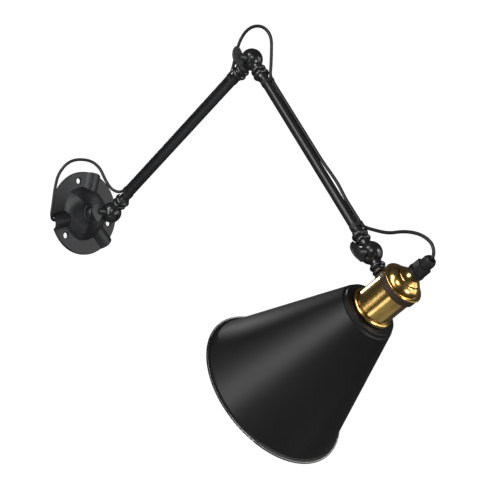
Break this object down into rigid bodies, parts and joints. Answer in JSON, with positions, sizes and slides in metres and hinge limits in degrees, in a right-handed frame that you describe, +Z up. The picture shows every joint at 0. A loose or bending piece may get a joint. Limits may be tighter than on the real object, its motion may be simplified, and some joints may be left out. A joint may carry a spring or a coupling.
{
  "type": "accordion wall lamp",
  "caption": "Wall lamp on a three-lobed plate, with jointed tube arms, wing-nut friction knuckles, a hinged brass lamp holder and a conical shade, its flex looped over each joint.",
  "frame": {"origin": "centre of the wall plate's screw circle, in the plane of its back", "axes": "+Y into the wall, +Z up, +X to the right for someone who faces the lamp; the arms swing in the YZ plane"},
  "size_m": [0.1808, 0.531, 0.4697],
  "materials": {
    "plate_paint": "satin dark grey-black paint over a casting",
    "knuckle_paint": "satin black paint",
    "arm_paint": "satin black paint",
    "wing_paint": "satin black paint",
    "shade_paint": "satin black powder coat",
    "antique_brass": "antique brass, polished and lacquered",
    "bronze_band": "dark bronze plate",
    "socket_brass": "plain brass",
    "porcelain": "glazed white porcelain",
    "zinc_steel": "zinc plated",
    "dark_steel": "blackened",
    "fibre": "pressed fibre",
    "grip_nylon": "matte black nylon",
    "clip_plastic": "matte black",
    "flex_pvc": "smooth black sheath",
    "core_pvc": "insulated cores"
  },
  "bodies": {
    "base": {"wall_plate": "plate_paint", "hub_nipple": "zinc_steel", "hub_star_washer": "zinc_steel", "hub_lock_nut": "zinc_steel", "mains_cores": "core_pvc", "base_knuckle": "knuckle_paint", "base_joint_spring_washer": "dark_steel", "base_joint_friction_disc": "fibre", "flex_base_loop": "flex_pvc"},
    "lower_arm": {"lower_arm_near_knuckle": "knuckle_paint", "lower_arm_far_knuckle": "knuckle_paint", "lower_arm_tube": "arm_paint", "lower_arm_clips": "clip_plastic", "lower_arm_flex": "flex_pvc", "base_joint_bolt": "dark_steel", "elbow_joint_spring_washer": "dark_steel", "elbow_joint_friction_disc": "fibre", "flex_elbow_loop": "flex_pvc"},
    "upper_arm": {"upper_arm_near_knuckle": "knuckle_paint", "upper_arm_far_knuckle": "knuckle_paint", "upper_arm_tube": "arm_paint", "upper_arm_clips": "clip_plastic", "upper_arm_flex": "flex_pvc", "elbow_joint_bolt": "dark_steel", "head_joint_spring_washer": "dark_steel", "head_joint_friction_disc": "fibre", "flex_head_loop": "flex_pvc"},
    "head": {"head_stud": "knuckle_paint", "head_joint_bolt": "dark_steel", "holder_band": "bronze_band", "holder_cap": "antique_brass", "cap_nipple": "zinc_steel", "cap_nut": "zinc_steel", "cord_grip_body": "grip_nylon", "cord_grip_nut": "grip_nylon", "holder_shell": "antique_brass", "shade_ring_nut": "antique_brass", "shade": "shade_paint", "socket_insert": "porcelain", "socket_screw_shell": "socket_brass", "socket_centre_contact": "socket_brass", "socket_terminals": "socket_brass", "terminal_screws": "zinc_steel", "socket_leads": "core_pvc", "flex_in_grip": "flex_pvc"},
    "base_wing": {"base_joint_wing_nut": "wing_paint"},
    "elbow_wing": {"elbow_joint_wing_nut": "wing_paint"},
    "head_wing": {"head_joint_wing_nut": "wing_paint"}
  },
  "joints": [
    {"name": "base_tilt", "type": "hinge", "parent": "base", "child": "lower_arm", "pos_m": [0, -0.0511, 0], "axis": [-1, 0, 0], "range_deg": [-96.2, 43.8], "deforming": ["flex_base_loop"]},
    {"name": "elbow_fold", "type": "hinge", "parent": "lower_arm", "child": "upper_arm", "pos_m": [0, -0.27342, 0.16271], "axis": [-1, 0, 0], "range_deg": [-31.7, 86.3], "deforming": ["flex_elbow_loop"]},
    {"name": "head_tilt", "type": "hinge", "parent": "upper_arm", "child": "head", "pos_m": [0, -0.45014, -0.04864], "axis": [-1, 0, 0], "range_deg": [-60, 90], "deforming": ["flex_head_loop"]},
    {"name": "base_wing_turn", "type": "hinge", "parent": "lower_arm", "child": "base_wing", "pos_m": [0, -0.0511, 0], "axis": [-1, 0, 0], "continuous": true},
    {"name": "elbow_wing_turn", "type": "hinge", "parent": "upper_arm", "child": "elbow_wing", "pos_m": [0, -0.27342, 0.16271], "axis": [-1, 0, 0], "continuous": true},
    {"name": "head_wing_turn", "type": "hinge", "parent": "head", "child": "head_wing", "pos_m": [0, -0.45014, -0.04864], "axis": [-1, 0, 0], "continuous": true}
  ]
}
